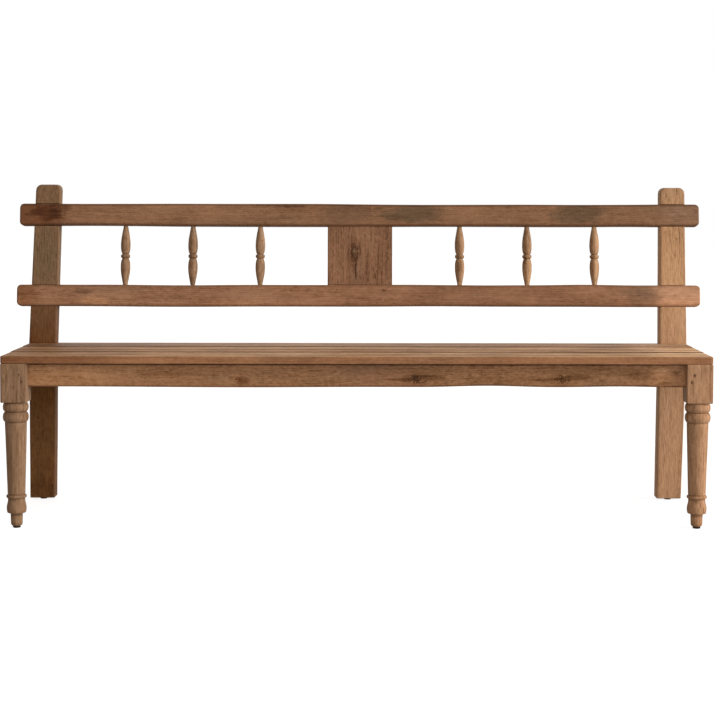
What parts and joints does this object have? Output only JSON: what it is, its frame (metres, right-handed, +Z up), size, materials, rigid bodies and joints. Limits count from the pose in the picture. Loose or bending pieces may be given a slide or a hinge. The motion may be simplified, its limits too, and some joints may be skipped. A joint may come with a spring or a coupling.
{
  "type": "deacons bench",
  "caption": "Long wooden bench with turned front legs, bent rear posts, a boarded seat and a raked back of rails, turned spindles and a middle panel.",
  "frame": {"origin": "on the floor, under the middle of the overall box, which is 1.75 mm to the right of the seat's middle", "axes": "+X along the bench, to the right as seen from the front; +Y from the seat's front edge to the back; +Z up"},
  "size_m": [1.9096, 0.4984, 0.892],
  "materials": {
    "leg_wood": "matt, worn",
    "post_wood": "matt, worn",
    "rail_wood": "matt, worn",
    "board_wood": "matt, worn",
    "apron_wood": "matt, worn",
    "panel_wood": "matt, worn",
    "spindle_wood": "matt, worn",
    "hidden_wood": "matt, rough sawn",
    "screw_steel": "dull zinc",
    "nail_steel": "oxidised",
    "glide": "matt"
  },
  "bodies": {
    "root": {"front_leg_left": "leg_wood", "front_leg_right": "leg_wood", "back_post_left": "post_wood", "back_post_right": "post_wood", "front_glide_left": "glide", "front_glide_right": "glide", "rear_glide_left": "glide", "rear_glide_right": "glide", "front_apron": "apron_wood", "rear_apron": "hidden_wood", "side_apron_left": "hidden_wood", "side_apron_right": "hidden_wood", "seat_batten_left": "hidden_wood", "seat_batten_middle": "hidden_wood", "seat_batten_right": "hidden_wood", "seat_board_front": "board_wood", "seat_board_second": "board_wood", "seat_board_middle": "board_wood", "seat_board_fourth": "board_wood", "seat_board_rear": "board_wood", "lower_rail": "rail_wood", "upper_rail": "rail_wood", "middle_panel": "panel_wood", "spindle_left_1": "spindle_wood", "spindle_left_2": "spindle_wood", "spindle_left_3": "spindle_wood", "spindle_right_1": "spindle_wood", "spindle_right_2": "spindle_wood", "spindle_right_3": "spindle_wood", "leg_nail_upper_left": "nail_steel", "leg_nail_lower_left": "nail_steel", "leg_nail_upper_right": "nail_steel", "leg_nail_lower_right": "nail_steel", "panel_nail_left": "nail_steel", "panel_nail_right": "nail_steel", "lower_rail_screw_left": "screw_steel", "lower_rail_screw_right": "screw_steel", "upper_rail_screw_left": "screw_steel", "upper_rail_screw_right": "screw_steel", "front_board_dowel_left": "hidden_wood", "front_board_dowel_middle": "hidden_wood", "front_board_dowel_right": "hidden_wood", "seat_board_second_screw_left": "screw_steel", "seat_board_second_screw_middle": "screw_steel", "seat_board_second_screw_right": "screw_steel", "seat_board_middle_screw_left": "screw_steel", "seat_board_middle_screw_middle": "screw_steel", "seat_board_middle_screw_right": "screw_steel", "seat_board_fourth_screw_left": "screw_steel", "seat_board_fourth_screw_middle": "screw_steel", "seat_board_fourth_screw_right": "screw_steel", "seat_board_rear_screw_left": "screw_steel", "seat_board_rear_screw_middle": "screw_steel", "seat_board_rear_screw_right": "screw_steel"}
  },
  "joints": []
}
